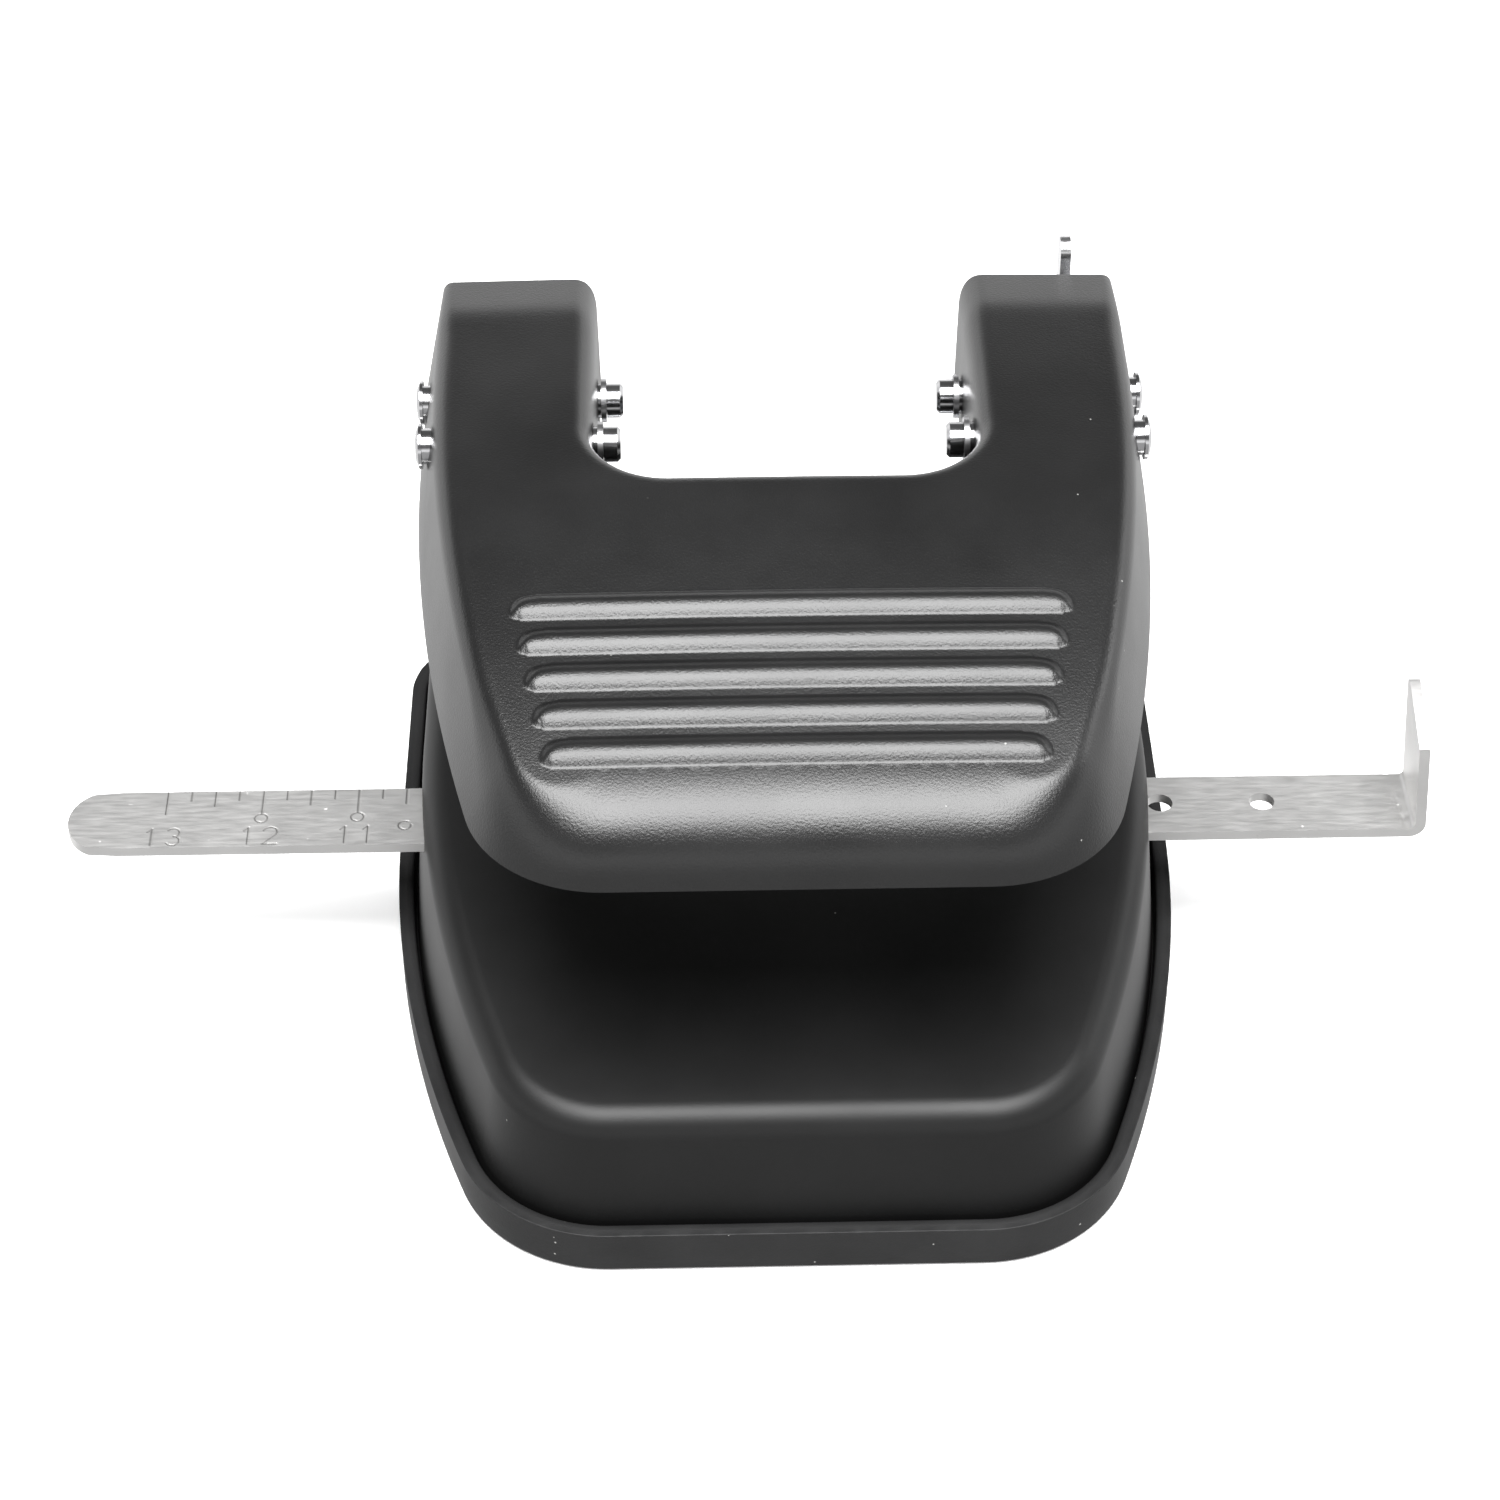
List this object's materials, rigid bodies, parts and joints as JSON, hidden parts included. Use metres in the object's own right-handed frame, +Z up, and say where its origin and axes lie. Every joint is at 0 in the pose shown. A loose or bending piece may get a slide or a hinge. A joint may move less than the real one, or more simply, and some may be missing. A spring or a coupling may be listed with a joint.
{
  "type": "two-hole paper punch",
  "caption": "Heavy-duty desk paper punch with two punch heads, a U-shaped press handle, a rubber chip pan and a sliding steel guide bar.",
  "frame": {"origin": "centre of the rubber pan's underside, on the table", "axes": "+X to the right along the guide bar towards its end tab, +Y to the rear towards the handle's hinge, +Z up"},
  "size_m": [0.1794, 0.1185, 0.0772],
  "materials": {
    "pan_rubber": "matte black moulded rubber",
    "black_paint": "smooth satin black paint on pressed steel",
    "handle_paint": "fine-textured satin black paint",
    "frame_steel": "zinc-plated folded steel",
    "tool_steel": "ground tool steel",
    "spring_steel": "drawn spring steel",
    "pin_chrome": "bright plated",
    "bright_steel": "bright zinc plate",
    "bar_nickel": "satin nickel plate"
  },
  "bodies": {
    "pan": {"base_pan": "pan_rubber"},
    "base": {"base_housing": "black_paint", "frame_rivets_left": "bright_steel", "frame_rivets_right": "bright_steel", "head_frame_left": "frame_steel", "head_frame_right": "frame_steel", "guide_block_left": "frame_steel", "guide_block_right": "frame_steel", "die_plate_left": "frame_steel", "die_plate_right": "frame_steel", "return_spring_left": "spring_steel", "return_spring_right": "spring_steel", "pivot_pin_left": "pin_chrome", "pivot_pin_right": "pin_chrome", "pivot_clips": "spring_steel", "bar_clip": "spring_steel", "bar_clip_rivets": "bright_steel"},
    "handle": {"handle": "handle_paint", "drive_pin_left": "pin_chrome", "drive_pin_right": "pin_chrome", "drive_clips": "spring_steel"},
    "punch_left": {"punch_left": "tool_steel", "spring_washer_left": "tool_steel"},
    "punch_right": {"punch_right": "tool_steel", "spring_washer_right": "tool_steel"},
    "guide_bar": {"guide_bar": "bar_nickel"},
    "lock_latch": {"lock_latch": "bright_steel"}
  },
  "joints": [
    {"name": "pan_lift_off", "type": "slide", "parent": "pan", "child": "base", "axis": [0, 0, 1], "range_m": [0, 0.03]},
    {"name": "handle_press", "type": "hinge", "parent": "base", "child": "handle", "pos_m": [0, 0.0385, 0.063], "axis": [1, 0, 0], "range_deg": [0, 21], "stiffness_Nm_per_rad": 1, "springref_deg": -20.05},
    {"name": "punch_slide_left", "type": "slide", "parent": "base", "child": "punch_left", "axis": [0, 0, -1], "range_m": [0, 0.0074], "deforming": ["return_spring_left"]},
    {"name": "punch_slide_right", "type": "slide", "parent": "base", "child": "punch_right", "axis": [0, 0, -1], "range_m": [0, 0.0074], "deforming": ["return_spring_right"]},
    {"name": "bar_slide", "type": "slide", "parent": "base", "child": "guide_bar", "axis": [1, 0, 0], "range_m": [-0.028, 0.082]},
    {"name": "latch_slide", "type": "slide", "parent": "base", "child": "lock_latch", "axis": [0, -1, 0], "range_m": [0, 0.005]}
  ],
  "couplings": [
    {"joint": "punch_slide_left", "follows": "handle_press", "m_per_rad": 0.019808},
    {"joint": "punch_slide_right", "follows": "handle_press", "m_per_rad": 0.019808}
  ]
}
